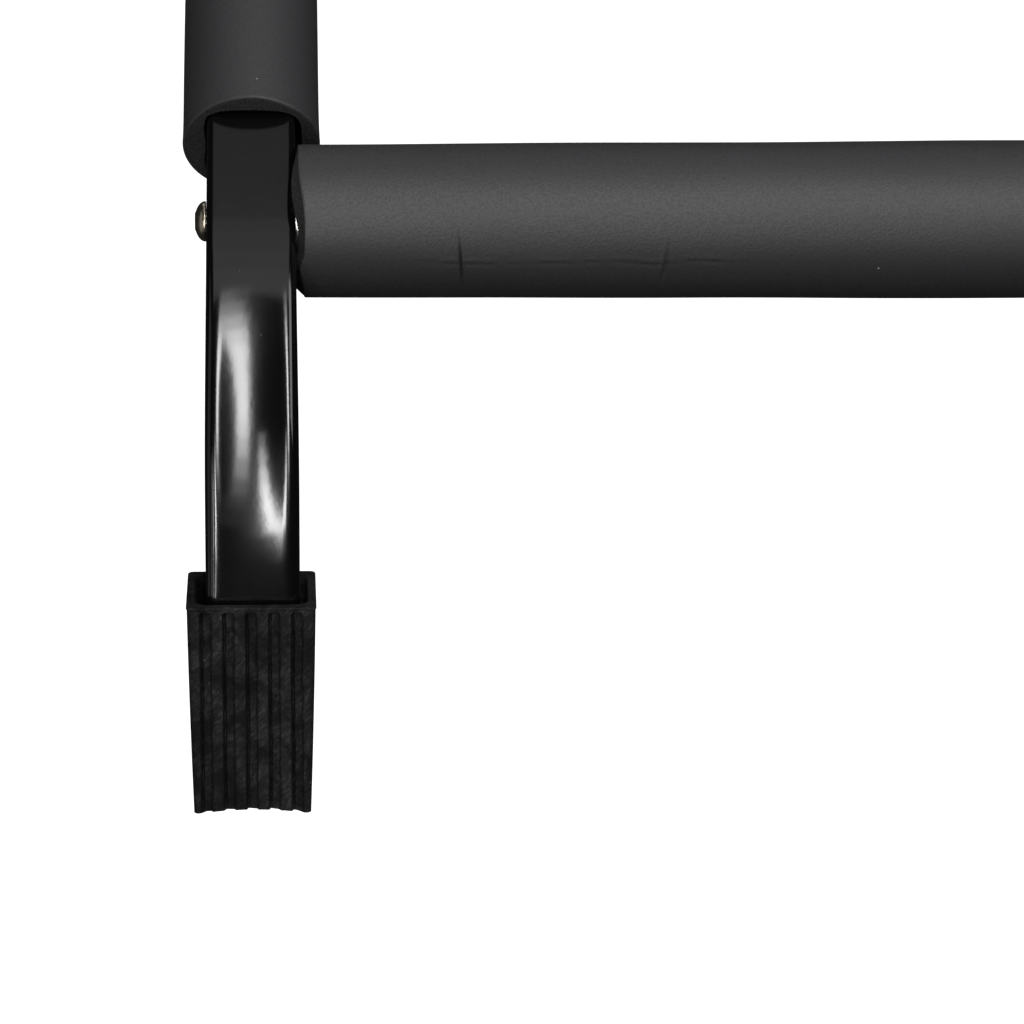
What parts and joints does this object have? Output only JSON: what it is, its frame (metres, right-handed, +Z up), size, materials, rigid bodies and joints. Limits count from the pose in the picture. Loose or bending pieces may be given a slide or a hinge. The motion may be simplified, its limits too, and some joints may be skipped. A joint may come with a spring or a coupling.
{
  "type": "pull up bar",
  "caption": "Doorway pull-up bar that hooks over the door trim: bent square arms with foam grips, a foam-covered front bar, a padded door bar and ribbed rubber boots",
  "frame": {"origin": "the middle of the underside of the hook bar's rubber sleeve, the face that rests on top of the door trim", "axes": "+Z up, -Y towards the user, +X along the bars; the frame is the same on both sides of X = 0"},
  "size_m": [0.931, 0.6328, 0.2654],
  "materials": {
    "enamel": "black gloss enamel on steel tube",
    "foam": "matte black closed-cell rubber foam",
    "rubber": "satin black moulded rubber",
    "plastic": "satin black plastic",
    "bolt": "dark nickel plating with a warm tint",
    "flange": "bright zinc plating"
  },
  "bodies": {
    "root": {"arm_left": "enamel", "arm_right": "enamel", "riser_plug_left": "plastic", "riser_plug_right": "plastic", "boot_left": "rubber", "boot_right": "rubber", "grip_foam_left": "foam", "grip_foam_right": "foam", "front_bar_tube": "enamel", "front_bar_foam": "foam", "front_bar_plug_left": "flange", "front_bar_plug_right": "flange", "front_bar_bolt_left": "bolt", "front_bar_bolt_right": "bolt", "door_bar_tube": "enamel", "door_pad_left": "foam", "door_pad_right": "foam", "door_bar_cap_left": "plastic", "door_bar_cap_right": "plastic", "door_saddle_left": "plastic", "door_saddle_right": "plastic", "door_bolt_left": "bolt", "door_bolt_right": "bolt", "door_washer_left": "flange", "door_washer_right": "flange", "door_nut_left": "flange", "door_nut_right": "flange", "hook_bar_tube": "enamel", "hook_bar_sleeve": "rubber", "hook_bar_cap_left": "rubber", "hook_bar_cap_right": "rubber", "hook_bolt_left": "bolt", "hook_bolt_right": "bolt", "hook_washer_left": "flange", "hook_washer_right": "flange", "hook_nut_left": "flange", "hook_nut_right": "flange"}
  },
  "joints": []
}
